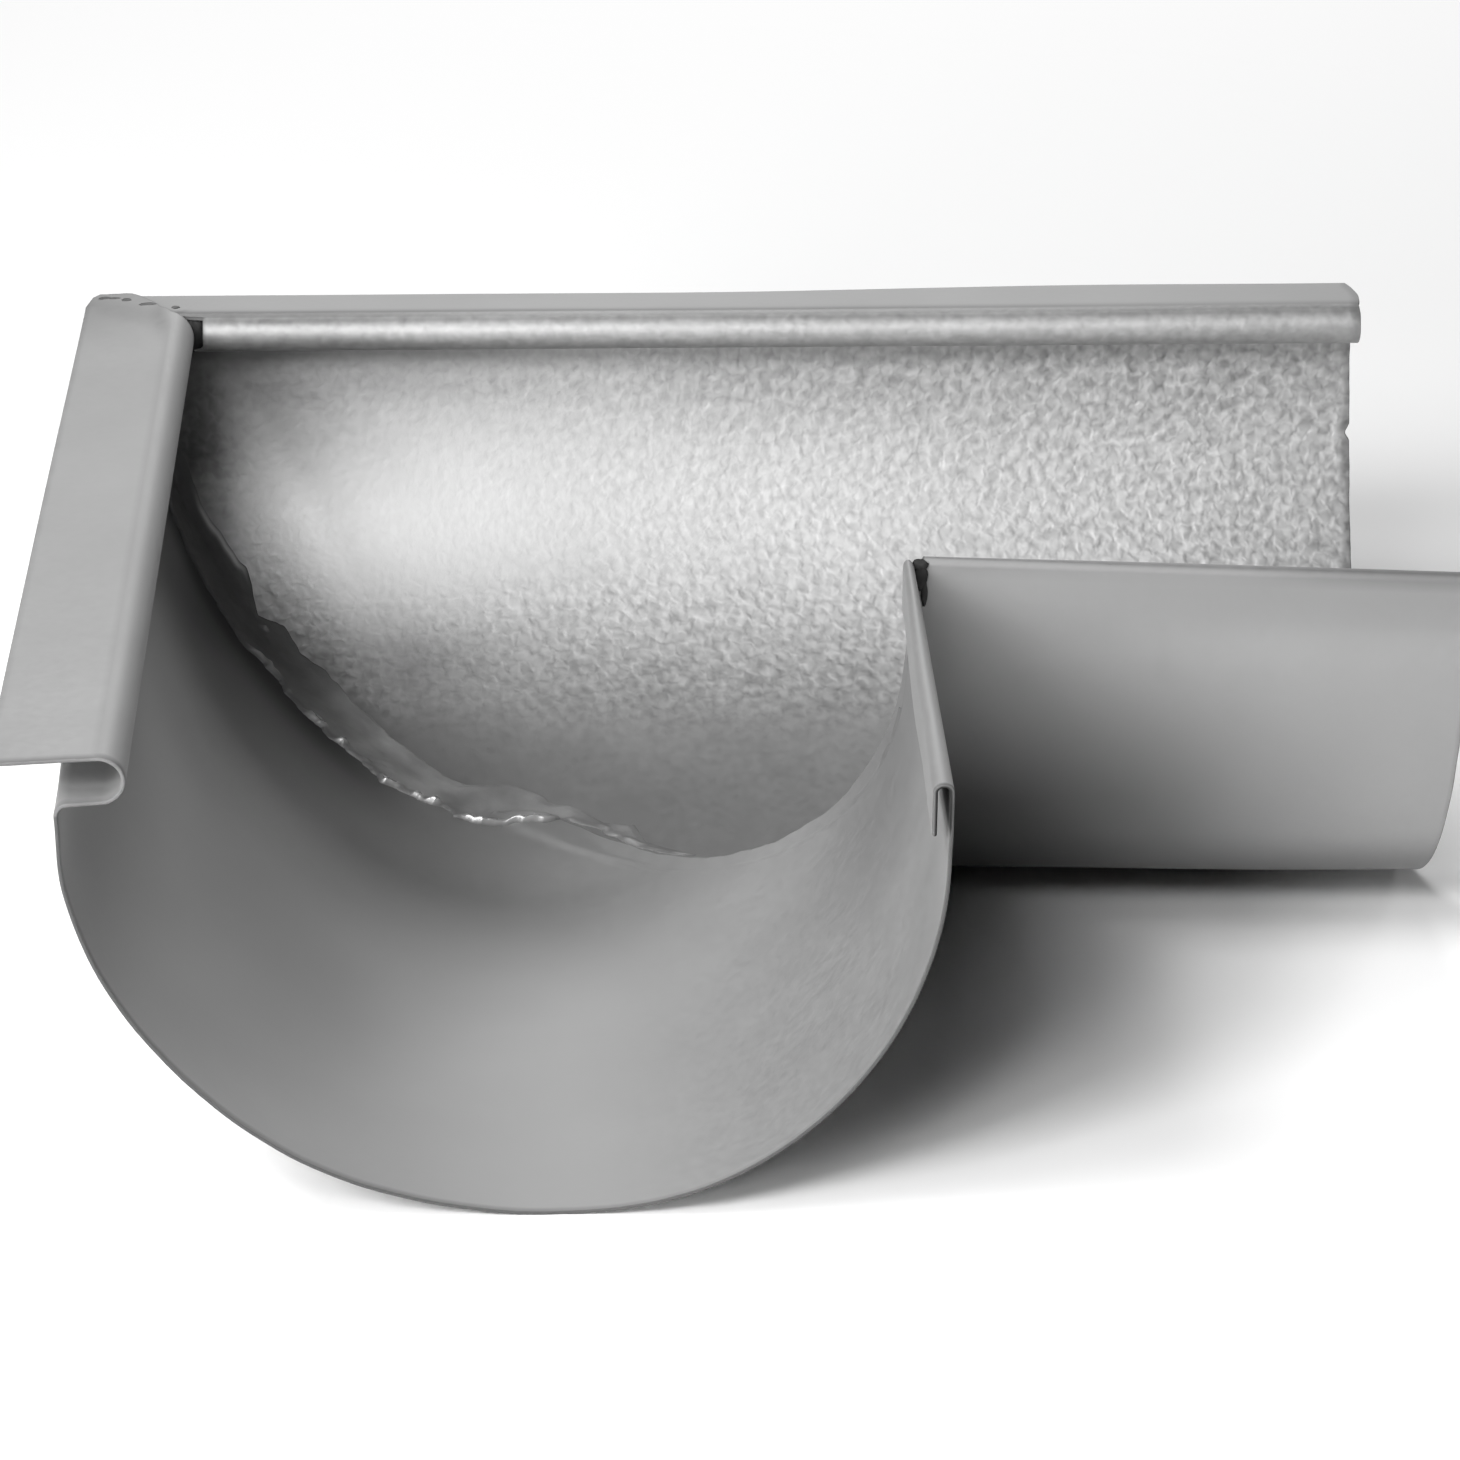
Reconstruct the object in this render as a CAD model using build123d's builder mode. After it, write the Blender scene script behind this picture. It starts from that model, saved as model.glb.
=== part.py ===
"""Gutter outside miter: two half-round gutter legs meeting at a right angle.

Each leg is one folded sheet.  From its free edge the sheet runs in as a wide
flat flange, turns down round a nose, runs back out as a narrow shelf, bends
down into the round trough, and ends at the back in a hem folded into the
trough.  The lips are on the outer sides of the corner.  The near leg's flange
laps over the far leg's flange at the outer corner, and a bead of sealer fills
the inside of the miter from the front wall down to the lowest line.

Frame: +X along the far leg, -Y along the near leg, +Z up.  The origin is at
the middle of the plan box, level with the lowest line of the troughs.
Section coordinates: u across a leg, 0 at mid-width and positive to the lip;
z up from the lowest line of the trough.
"""
import os
from math import cos, sin, tan, radians, sqrt

from build123d import *

# ---------------------------------------------------------------- dimensions
SHEET = 0.7            # sheet thickness
TROUGH_W = 152.4       # outside width of the trough
LOW_U = -8.0           # the lowest line lies a little to the back of mid-width
LEG_FAR = 180.0        # from the crossing of the mid-lines to the far leg's end
LEG_NEAR = 168.4       # from the crossing of the mid-lines to the near leg's end

NOSE_U = 62.6          # innermost point of the lip's round nose
NOSE_R = 4.3           # outside radius of the nose
NOSE_Z = 84.3          # height of the nose's centre
FLANGE_U = 86.0        # outer edge of the flange
FLANGE_FALL = 5.5      # slope of the flange, down to its outer edge (degrees)
WALL_BEND = 2.4        # outside radius of the bend from front wall to shelf

BACK_TOP = 87.3        # top of the back hem at the inner corner
BACK_FALL = 0.0435     # fall of the back edge away from the inner corner
HEM_GAP = 1.8          # open gap inside the folded hem
HEM_DEEP = 9.7         # height of the folded leaf

NICK_Z = 57.0          # nick in the far leg's end, height and depth
NICK_DEEP = 0.9

SEAL_W = 7.0           # reach of the sealer bead along each leg
SEAL_TOP = 76.0        # its upper end, under the lip
SEAL_END = 2.0         # its lower end across the trough

# ------------------------------------------------------- derived dimensions
HALF_W = TROUGH_W / 2
R_BACK = HALF_W + LOW_U            # outside radius of the back half
R_FRONT = HALF_W - LOW_U           # outside radius of the front half
AX = (FLANGE_U - LEG_FAR) / 2      # crossing of the mid-lines in plan
AY = (LEG_NEAR - FLANGE_U) / 2
FALL = radians(FLANGE_FALL)
SHELF_Z = NOSE_Z - NOSE_R + SHEET  # top of the shelf
NOSE_C = NOSE_U + NOSE_R           # centre of the nose
NOSE_IN = NOSE_R - SHEET           # inside radius of the nose

# bend between the front wall and the shelf, tangent to both
BEND_Z = SHELF_Z - WALL_BEND
BEND_U = LOW_U + sqrt((R_FRONT - WALL_BEND) ** 2 - (BEND_Z - R_FRONT) ** 2)
BEND_K = R_FRONT / (R_FRONT - WALL_BEND)
BEND_START = (LOW_U + (BEND_U - LOW_U) * BEND_K, R_FRONT + (BEND_Z - R_FRONT) * BEND_K)

# flange: underside from the nose to the free edge
FL_IN = (NOSE_C + NOSE_IN * sin(FALL), NOSE_Z + NOSE_IN * cos(FALL))
FL_LEN = (FLANGE_U - SHEET * sin(FALL) - FL_IN[0]) / cos(FALL)
FL_OUT = (FL_IN[0] + FL_LEN * cos(FALL), FL_IN[1] - FL_LEN * sin(FALL))
FL_TOP_IN = (NOSE_C + NOSE_R * sin(FALL), NOSE_Z + NOSE_R * cos(FALL))


def flange_top(u):
    """Height of the flange's upper face at u."""
    return FL_TOP_IN[1] - (u - FL_TOP_IN[0]) * tan(FALL)


WALL_JOIN = 76.0       # the straight back wall carries on above this in the hem
HEM_R = SHEET + HEM_GAP / 2
HEM_T0 = 60.0          # hem section is drawn here along each leg
HEM_TOP0 = BACK_TOP + BACK_FALL * (HALF_W - HEM_T0)
HEM_LOW0 = 74.0 + BACK_FALL * (HALF_W - HEM_T0)


def near_plane(t):
    """Section plane across the near leg, t along it from the crossing."""
    return Plane(origin=(AX, AY - t, 0), x_dir=(-1, 0, 0), z_dir=(0, 1, 0))


def far_plane(t):
    """Section plane across the far leg, t along it from the crossing."""
    return Plane(origin=(AX + t, AY, 0), x_dir=(0, 1, 0), z_dir=(1, 0, 0))


# the miter plane holds the vertical through the crossing; its normal points
# to the far leg's side
MITER = Plane(origin=(AX, AY, 0), x_dir=(-1, 1, 0), z_dir=(1, 1, 0))

# ------------------------------------------------------------- leg sections
# one closed strip of sheet, from the back wall round to the flange's free edge
with BuildSketch() as sheet_section:
    with BuildLine():
        Line((-HALF_W, WALL_JOIN), (-HALF_W, R_BACK))
        CenterArc((LOW_U, R_BACK), R_BACK, 180, 90)
        ThreePointArc(
            (LOW_U, 0),
            (LOW_U + R_FRONT * sin(radians(43)), R_FRONT - R_FRONT * cos(radians(43))),
            BEND_START,
        )
        ThreePointArc(
            BEND_START,
            (BEND_U + WALL_BEND * cos(radians(45)), BEND_Z + WALL_BEND * sin(radians(45))),
            (BEND_U, SHELF_Z),
        )
        Line((BEND_U, SHELF_Z), (NOSE_C, SHELF_Z))
        ThreePointArc((NOSE_C, SHELF_Z), (NOSE_C - NOSE_IN, NOSE_Z), FL_IN)
        Line(FL_IN, FL_OUT)
        offset(amount=SHEET, side=Side.LEFT)
    make_face()

# top of the back wall with the hem folded over into the trough
HEM_BOT0 = HEM_TOP0 - HEM_DEEP
with BuildSketch() as hem_section:
    with BuildLine():
        Polyline((-HALF_W, HEM_TOP0 - HEM_R), (-HALF_W, HEM_LOW0),
                 (-HALF_W + SHEET, HEM_LOW0), (-HALF_W + SHEET, HEM_TOP0 - HEM_R))
        ThreePointArc(
            (-HALF_W + SHEET, HEM_TOP0 - HEM_R),
            (-HALF_W + HEM_R, HEM_TOP0 - SHEET),
            (-HALF_W + SHEET + HEM_GAP, HEM_TOP0 - HEM_R),
        )
        Polyline((-HALF_W + SHEET + HEM_GAP, HEM_TOP0 - HEM_R),
                 (-HALF_W + SHEET + HEM_GAP, HEM_BOT0),
                 (-HALF_W + 2 * HEM_R, HEM_BOT0),
                 (-HALF_W + 2 * HEM_R, HEM_TOP0 - HEM_R))
        ThreePointArc(
            (-HALF_W + 2 * HEM_R, HEM_TOP0 - HEM_R),
            (-HALF_W + HEM_R, HEM_TOP0),
            (-HALF_W, HEM_TOP0 - HEM_R),
        )
    make_face()

# the hollow of the trough, inside the sheet
with BuildSketch() as hollow_section:
    with BuildLine():
        Line((-HALF_W + SHEET, 78), (-HALF_W + SHEET, R_BACK))
        CenterArc((LOW_U, R_BACK), R_BACK - SHEET, 180, 90)
        HOLLOW_END = LOW_U + sqrt((R_FRONT - SHEET) ** 2 - (R_FRONT - 76.5) ** 2)
        ThreePointArc(
            (LOW_U, SHEET),
            (LOW_U + (R_FRONT - SHEET) * sin(radians(43)),
             R_FRONT - (R_FRONT - SHEET) * cos(radians(43))),
            (HOLLOW_END, 76.5),
        )
        Polyline((HOLLOW_END, 76.5), (HOLLOW_END - 6, 78), (-HALF_W + SHEET, 78))
    make_face()

# a layer lying on the upper face of the far leg's flange
with BuildSketch() as lap_layer:
    Polygon((60, flange_top(60)), (90, flange_top(90)),
            (90, flange_top(90) + SHEET), (60, flange_top(60) + SHEET), align=None)

# the same, sunk into the sheet, for the turn-up along the miter
with BuildSketch() as turn_layer:
    Polygon((60, flange_top(60) - 0.5), (90, flange_top(90) - 0.5),
            (90, flange_top(90) + SHEET), (60, flange_top(60) + SHEET), align=None)

HEM_DIR = sqrt(1 + BACK_FALL ** 2)

# ------------------------------------------------------------- lap of flange
# outline of the near flange's lap on the far flange, measured from the crossing
LAP_PLAN = [(-FLANGE_U, FLANGE_U), (-76.0, FLANGE_U), (-74.4, 82.6), (-71.6, 77.0),
            (-70.2, 72.6), (-67.0, 67.0)]
with BuildPart() as lap:
    with BuildSketch(Plane.XY.offset(70)):
        Polygon(*[(AX + x, AY + y) for x, y in LAP_PLAN], align=None)
    extrude(amount=30)
    with BuildSketch(far_plane(-100)):
        add(lap_layer.sketch)
    extrude(amount=80, mode=Mode.INTERSECT)

# narrow turn-up joining the near flange to its lap
TURN_PLAN = [(-FLANGE_U, FLANGE_U), (-67.0, 67.0), (-67.7, 66.3), (-FLANGE_U, FLANGE_U - 1.4)]
with BuildPart() as turn:
    with BuildSketch(Plane.XY.offset(70)):
        Polygon(*[(AX + x, AY + y) for x, y in TURN_PLAN], align=None)
    extrude(amount=30)
    with BuildSketch(far_plane(-100)):
        add(turn_layer.sketch)
    extrude(amount=80, mode=Mode.INTERSECT)

# ----------------------------------------------------------------- near leg
with BuildPart() as near_leg:
    with BuildSketch(near_plane(-100)):
        add(sheet_section.sketch)
    extrude(amount=-(LEG_NEAR + 100))
    with BuildSketch(near_plane(HEM_T0)):
        add(hem_section.sketch)
    extrude(amount=(LEG_NEAR + 10 - HEM_T0) * HEM_DIR, dir=(0, -1, -BACK_FALL))
    split(bisect_by=near_plane(LEG_NEAR), keep=Keep.TOP)
    split(bisect_by=MITER, keep=Keep.BOTTOM)
    add(turn.part)
    add(lap.part)

# ------------------------------------------------------------------ far leg
with BuildPart() as far_leg:
    with BuildSketch(far_plane(-100)):
        add(sheet_section.sketch)
    extrude(amount=LEG_FAR + 100)
    with BuildSketch(far_plane(HEM_T0)):
        add(hem_section.sketch)
    extrude(amount=(LEG_FAR + 10 - HEM_T0) * HEM_DIR, dir=(1, 0, -BACK_FALL))
    split(bisect_by=far_plane(LEG_FAR), keep=Keep.BOTTOM)
    split(bisect_by=MITER, keep=Keep.TOP)
    # hem and wall cut back at the inner corner, wider at the top
    with BuildSketch(Plane(origin=(AX, AY - 90, 0), x_dir=(1, 0, 0), z_dir=(0, -1, 0))):
        Polygon((68, 95), (HALF_W + 2.6, 95), (HALF_W + 0.3, 77.2), (68, 77.2), align=None)
    extrude(amount=-22, mode=Mode.SUBTRACT)
    # small nick in the edge of the front wall at the open end
    with BuildSketch(Plane(origin=(AX, AY + 60, 0), x_dir=(1, 0, 0), z_dir=(0, -1, 0))):
        Polygon((LEG_FAR + 1, NICK_Z + 1.5), (LEG_FAR - NICK_DEEP, NICK_Z + 0.2),
                (LEG_FAR - NICK_DEEP, NICK_Z - 0.3), (LEG_FAR + 1, NICK_Z - 1.4), align=None)
    extrude(amount=-20, mode=Mode.SUBTRACT)
    # nose cut back at the outer corner
    with BuildSketch(Plane.XY.offset(SHELF_Z + 0.4)):
        Polygon((AX - 68, AY + 58), (AX - 60.9, AY + 58), (AX - 60.9, AY + 65.6),
                (AX - 68, AY + 65.6), align=None)
    extrude(amount=12, mode=Mode.SUBTRACT)

# -------------------------------------------------------------- sealer bead
# it bridges the crease level by level, reaching SEAL_W along each leg; in the
# miter plane it fills from the crease to the same curve moved inward
R_CREASE = R_FRONT - SHEET
with BuildSketch() as seal_section:
    with Locations((sqrt(2) * LOW_U, R_FRONT)):
        Ellipse(sqrt(2) * R_FRONT, R_FRONT)
    with Locations((sqrt(2) * (LOW_U - SEAL_W / 2), R_FRONT)):
        Ellipse(sqrt(2) * R_CREASE, R_CREASE, mode=Mode.SUBTRACT)
    with Locations((sqrt(2) * (SEAL_END + 50), SEAL_TOP / 2)):
        Rectangle(sqrt(2) * 100, SEAL_TOP, mode=Mode.INTERSECT)

with BuildPart() as seal_near:
    with BuildSketch(MITER):
        add(seal_section.sketch)
    extrude(amount=-SEAL_W / sqrt(2))
    with BuildSketch(near_plane(-100)):
        add(hollow_section.sketch)
    extrude(amount=-250, mode=Mode.INTERSECT)

with BuildPart() as seal_far:
    with BuildSketch(MITER):
        add(seal_section.sketch)
    extrude(amount=SEAL_W / sqrt(2))
    with BuildSketch(far_plane(-100)):
        add(hollow_section.sketch)
    extrude(amount=250, mode=Mode.INTERSECT)

with BuildPart() as seam_sealer:
    add(seal_near.part)
    add(seal_far.part)

# -------------------------------------------------------------------- export
os.makedirs("parts", exist_ok=True)
near_leg.part.label = "near_leg"
far_leg.part.label = "far_leg"
seam_sealer.part.label = "seam_sealer"
export_step(near_leg.part, "parts/near_leg.step")
export_step(far_leg.part, "parts/far_leg.step")
export_step(seam_sealer.part, "parts/seam_sealer.step")
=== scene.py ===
import math

import bpy
import numpy as np
from mathutils import Matrix, Vector, noise


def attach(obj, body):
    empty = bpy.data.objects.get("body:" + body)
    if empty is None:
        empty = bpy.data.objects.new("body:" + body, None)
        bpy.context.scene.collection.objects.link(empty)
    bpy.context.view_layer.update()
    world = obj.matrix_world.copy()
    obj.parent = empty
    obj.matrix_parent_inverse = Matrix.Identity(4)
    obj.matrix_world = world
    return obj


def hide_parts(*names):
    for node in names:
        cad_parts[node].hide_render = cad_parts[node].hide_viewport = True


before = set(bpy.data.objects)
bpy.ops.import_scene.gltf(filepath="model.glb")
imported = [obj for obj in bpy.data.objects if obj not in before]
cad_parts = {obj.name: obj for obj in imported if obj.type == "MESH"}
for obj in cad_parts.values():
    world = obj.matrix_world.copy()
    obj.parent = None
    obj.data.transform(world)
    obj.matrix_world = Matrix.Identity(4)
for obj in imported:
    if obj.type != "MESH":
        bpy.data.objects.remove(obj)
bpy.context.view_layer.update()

# ------------------------------------------------------------------ dimensions
# millimetres, the same section and plan as the CAD part
MM = 0.001
SHEET = 0.7
H = SHEET / 2
HALF_W = 76.2
LOW_U = -8.0
R_BACK = HALF_W + LOW_U
R_FRONT = HALF_W - LOW_U
LEG_FAR = 180.0
LEG_NEAR = 168.4
NOSE_U = 62.6
NOSE_R = 4.3
NOSE_Z = 84.3
FLANGE_U = 86.0
FALL = math.radians(5.5)
WALL_BEND = 2.4
BACK_TOP = 87.3
BACK_FALL = 0.0435
HEM_GAP = 1.8
HEM_DEEP = 9.7
HEM_R = SHEET + HEM_GAP / 2
AX = (FLANGE_U - LEG_FAR) / 2
AY = (LEG_NEAR - FLANGE_U) / 2
SHELF_Z = NOSE_Z - NOSE_R + SHEET
NOSE_C = NOSE_U + NOSE_R
BEND_Z = SHELF_Z - WALL_BEND
BEND_U = LOW_U + math.sqrt((R_FRONT - WALL_BEND) ** 2 - (BEND_Z - R_FRONT) ** 2)
FL_TOP = (NOSE_C + NOSE_R * math.sin(FALL), NOSE_Z + NOSE_R * math.cos(FALL))
EDGE_R = 0.2           # rounding of the sheet's cut edges


def flange_top(u):
    return FL_TOP[1] - (u - FL_TOP[0]) * np.tan(FALL)


def zin(u):
    """Height of the trough's inner face at u."""
    u = np.asarray(u, float)
    rb, rf = R_BACK - SHEET, R_FRONT - SHEET
    back = R_BACK - np.sqrt(np.maximum(rb ** 2 - (u - LOW_U) ** 2, 0))
    front = R_FRONT - np.sqrt(np.maximum(rf ** 2 - (u - LOW_U) ** 2, 0))
    return np.where(u < LOW_U, back, front)


def smooth(x, a, b):
    k = np.clip((np.asarray(x, float) - a) / (b - a), 0, 1)
    return k * k * (3 - 2 * k)


# --------------------------------------------------------------------- section
# mid-line of the sheet from the hem's free edge round to the flange's free edge:
# u, z, normal towards the trough, share of the back edge's fall, part code
HEM, WALL, TROUGH, BEND, SHELF, NOSE, FLANGE = range(7)


def arc(cu, cz, r, a0, a1, n, code, fall=0.0, skip=1):
    out = []
    for k in range(skip, n + 1):
        a = math.radians(a0 + (a1 - a0) * k / n)
        s = -1.0 if a1 > a0 else 1.0
        out.append((cu + r * math.cos(a), cz + r * math.sin(a), s * math.cos(a), s * math.sin(a), fall, code))
    return out


def section():
    p = []
    leaf, wall = -HALF_W + 2 * HEM_R - H, -HALF_W + H
    for k in range(9):
        p.append((leaf, BACK_TOP - HEM_DEEP + (HEM_DEEP - HEM_R) * k / 8, -1.0, 0.0, 1.0, HEM))
    p += arc(-HALF_W + HEM_R, BACK_TOP - HEM_R, HEM_R - H, 0, 180, 14, HEM, 1.0)
    for k in range(1, 9):
        z = BACK_TOP - HEM_R + (R_BACK - BACK_TOP + HEM_R) * k / 8
        p.append((wall, z, 1.0, 0.0, float(smooth(z, 69.5, 78.5)), WALL))
    p += arc(LOW_U, R_BACK, R_BACK - H, 180, 270, 54, TROUGH)
    end = 270 + math.degrees(math.atan2(BEND_U - LOW_U, R_FRONT - BEND_Z))
    front = arc(LOW_U, R_FRONT, R_FRONT - H, 270, end, 64, TROUGH)
    # extra lines where the end of the far leg has its nick
    nick = [270 + math.degrees(math.acos((R_FRONT - z) / (R_FRONT - H))) for z in (56.5, 57.4, 58.0, 58.5, 59.1, 60.0)]
    for a in nick:
        front += arc(LOW_U, R_FRONT, R_FRONT - H, 270, a, 1, TROUGH)
    front.sort(key=lambda q: math.atan2(q[0] - LOW_U, R_FRONT - q[1]))
    p += front
    p += arc(BEND_U, BEND_Z, WALL_BEND - H, end - 360, 90, 9, BEND)
    for k in range(1, 5):
        p.append((BEND_U + (NOSE_C - BEND_U) * k / 4, SHELF_Z - H, 0.0, -1.0, 0.0, SHELF))
    p += arc(NOSE_C, NOSE_Z, NOSE_R - H, 270, 90 - 5.5, 24, NOSE)
    u0, z0 = p[-1][0], p[-1][1]
    u1 = FLANGE_U - H * math.sin(FALL)
    for k in range(1, 15):
        u = u0 + (u1 - u0) * k / 14
        p.append((u, z0 - (u - u0) * math.tan(FALL), math.sin(FALL), math.cos(FALL), 0.0, FLANGE))
    return np.array(p)


SEC = section()
MU, MZ, NU, NZ, FALLS, CODE = SEC.T
CODE = CODE.astype(int)
N = len(SEC)


def edge_tangent(i, j):
    d = np.array([MU[i] - MU[j], MZ[i] - MZ[j]])
    return d / np.linalg.norm(d)


T0, T1 = edge_tangent(0, 1), edge_tangent(N - 1, N - 2)

# closed loop round the sheet: outer face, flange edge, inner face, hem edge;
# each entry is (section index, offset along the normal, offset past the free edge)
LOOP = [(i, -H, 0.0) for i in range(N)]
LOOP += [(N - 1, -H * 0.8, EDGE_R * 0.7), (N - 1, -H * 0.4, EDGE_R), (N - 1, H * 0.4, EDGE_R), (N - 1, H * 0.8, EDGE_R * 0.7)]
LOOP += [(i, H, 0.0) for i in range(N - 1, -1, -1)]
LOOP += [(0, H * 0.8, EDGE_R * 0.7), (0, H * 0.4, EDGE_R), (0, -H * 0.4, EDGE_R), (0, -H * 0.8, EDGE_R * 0.7)]
LI = np.array([q[0] for q in LOOP])
LO = np.array([q[1] for q in LOOP])
LE = np.array([q[2] for q in LOOP])
NL = len(LOOP)
FREE = np.where(LI == 0, 1.0, 0.0)[:, None] * T0 + np.where(LI == N - 1, 1.0, 0.0)[:, None] * T1
INNER = LO > 0


def loop_points(shrink):
    """u, z of the loop; shrink < 1 pulls both faces towards the mid-line."""
    u = MU[LI] + NU[LI] * LO * shrink + FREE[:, 0] * (LE - EDGE_R)
    z = MZ[LI] + NZ[LI] * LO * shrink + FREE[:, 1] * (LE - EDGE_R)
    return u, z


def lumps(p, scale, seed):
    """Smooth noise at points p (mm), one value a point."""
    off = Vector((seed * 7.3, seed * 3.1, seed * 5.7))
    return np.array([noise.noise(Vector(q) / scale + off) for q in p])


def wave(x, seed, steps):
    """Sum of a few sines, for cut edges that are not quite straight."""
    out = np.zeros_like(np.asarray(x, float))
    for k, (length, amp) in enumerate(steps):
        out += amp * np.sin(2 * np.pi * np.asarray(x, float) / length + seed * (1.7 + k) + k)
    return out


# ------------------------------------------------- where each leg starts and ends
LAP_X = np.array([62.0, 67.0, 70.2, 71.6, 74.4, 76.0, 83.2, 84.7, 86.2])
LAP_Y = np.array([62.0, 67.0, 72.6, 77.0, 82.6, 85.4, 85.3, 83.0, 77.0])
# reach of the near sheet past the miter, over the far leg's floor
EXT_U = np.array([-76.5, -74.0, -70.0, -62.0, -57.0, -48.0, -37.0, -27.5, -17.8, -8.8, -2.0, 2.4, 8.0])
EXT_W = np.array([6.8, 7.2, 7.4, 6.4, 6.4, 5.7, 6.0, 9.4, 13.5, 11.5, 5.5, 1.2, 0.0])


def reach_past(u, z):
    return np.interp(u, EXT_U, EXT_W, right=0.0) * (1 - smooth(z, 62.0, 78.0))


def droop(u, t, begin, end):
    """The flanges' outer edges hang a little lower at the outer corner."""
    return 1.1 * np.clip((u - 67.0) / 19.0, 0, 1) * (1 - smooth(t, begin, end))


def sunk(u):
    """The far leg's nose is pressed a little flatter, and its flange starts lower."""
    return 0.8 * (1 - np.clip((u - 67.0) / 19.0, 0, 1))


def lap_top(u, y):
    """Height of the near flange's upper face where it runs on over the far flange."""
    past = y - u
    m = 0.5 * (y + u + np.sqrt(past ** 2 + 16.0))
    on_far = flange_top(m) - droop(m, -y, -86.0, 60.0)
    on_far = on_far - sunk(m) * np.clip((u - 67.0) / 4.0, 0, 1) * smooth(past, -25.0, 0.0)
    return on_far + (SHEET + 0.08) * smooth(past, -13.0, 0.2) + 0.08 * smooth(past, 1.0, 9.0) * np.sin(u * 0.9 + 0.6)


def near_start(u, z):
    t = -u.copy()
    fl = (CODE[LI] == FLANGE)
    t = np.where(fl & (u > 67), -(np.interp(u, LAP_X, LAP_Y) + wave(u, 1.0, [(3.1, 0.12), (1.7, 0.07)])), t)
    low = (CODE[LI] == TROUGH) | (CODE[LI] == WALL)
    ext = reach_past(u, z)
    ext = ext + np.where(ext > 0.5, wave(u, 2.0, [(11.0, 0.35), (4.3, 0.2), (2.3, 0.1)]), 0)
    t = np.where(low & (u < 8), -(u + np.maximum(ext, 0)), t)
    return np.where(CODE[LI] == HEM, np.maximum(t, HALF_W + 0.4), t)


def near_end(u, z):
    t = LEG_NEAR + wave(u + z, 0.4, [(61, 0.10), (17, 0.05), (5.3, 0.03)])
    # the cut runs a little long towards the top
    t = t + 1.5 * smooth(z, 45.0, 85.0) + np.where(u < 0, 1.3 * smooth(z, 66.0, 82.0), 0.0)
    # and short along the bottom
    t = np.where(CODE[LI] == TROUGH, t - 2.3 * (1 - smooth(np.abs(u + 1), 7, 39)), t)
    t = np.where(CODE[LI] == SHELF, t - 0.9 * np.clip((BEND_U - u) / (BEND_U - NOSE_C), 0, 1), t)
    lip = np.isin(CODE[LI], (NOSE, FLANGE))
    return np.where(lip, t - 0.9 - 2.4 * np.clip((u - 66) / 20, 0, 1), t)


def far_start(u, z):
    t = -u.copy()
    hem = (CODE[LI] == HEM) | ((CODE[LI] == WALL) & (z > 77.2))
    cut = HALF_W + 0.3 + (z - 77.2) * (2.3 / 17.8) + wave(z, 3.0, [(7.0, 0.12), (2.9, 0.06)])
    t = np.where(hem, np.maximum(t, cut), t)
    nose = (CODE[LI] == NOSE) & (u < 65.6) & (z > 81.1)
    t = np.where(nose, np.maximum(t, -60.9), t)
    # the flange's corner is cut off, and the floor trimmed back, under the near sheet's lap
    t = np.where((CODE[LI] == FLANGE) & (u > 78), np.maximum(t, -80.5), t)
    low = (CODE[LI] == TROUGH) | (CODE[LI] == WALL)
    return np.where(low & (u < 8), t + np.minimum(1.3, 0.3 * reach_past(u, z)) * (1 - smooth(z, 34.0, 52.0)), t)


def far_end(u, z):
    t = LEG_FAR + wave(u + z, 1.9, [(73, 0.12), (19, 0.05), (6.1, 0.03)])
    front = (CODE[LI] == TROUGH) & (u > 40)
    nick = 0.9 * np.clip(1 - np.abs(z - 58.25) / 1.4, 0, 1) ** 0.7
    t = np.where(CODE[LI] == FLANGE, t + 1.2 * np.sin(np.pi * np.clip((u - 67) / 19, 0, 1)), t)
    return np.where(front, t - nick, t)


def ring_steps(n_fine, length):
    """Shares 0..1 along a leg, closer together near the start."""
    a = np.linspace(0, 1, n_fine)
    return a + 0.35 * np.sin(np.pi * a) * (a - 1) * 0.6


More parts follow.
